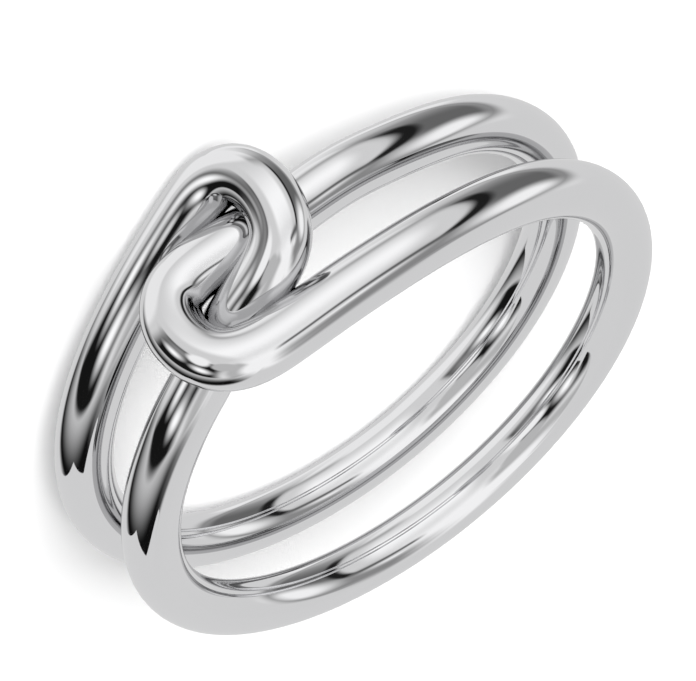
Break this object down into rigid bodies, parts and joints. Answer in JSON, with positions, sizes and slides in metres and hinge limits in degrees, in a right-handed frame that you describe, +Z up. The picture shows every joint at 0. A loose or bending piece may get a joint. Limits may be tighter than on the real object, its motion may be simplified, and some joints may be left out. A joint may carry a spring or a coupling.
{
  "type": "infinity ring",
  "caption": "Polished white metal finger ring of round wire: parallel bands whose bends hook into each other and make an open knot on top.",
  "frame": {"origin": "middle of the ring's footprint, on the surface that it lies on", "axes": "+Z up, along the finger's way through the ring; +Y from the middle of the ring to its knot; +X across the knot"},
  "size_m": [0.0214, 0.0234, 0.0073],
  "materials": {
    "white_metal": "mirror-polished silver"
  },
  "bodies": {
    "root": {"wire_ring": "white_metal"}
  },
  "joints": []
}
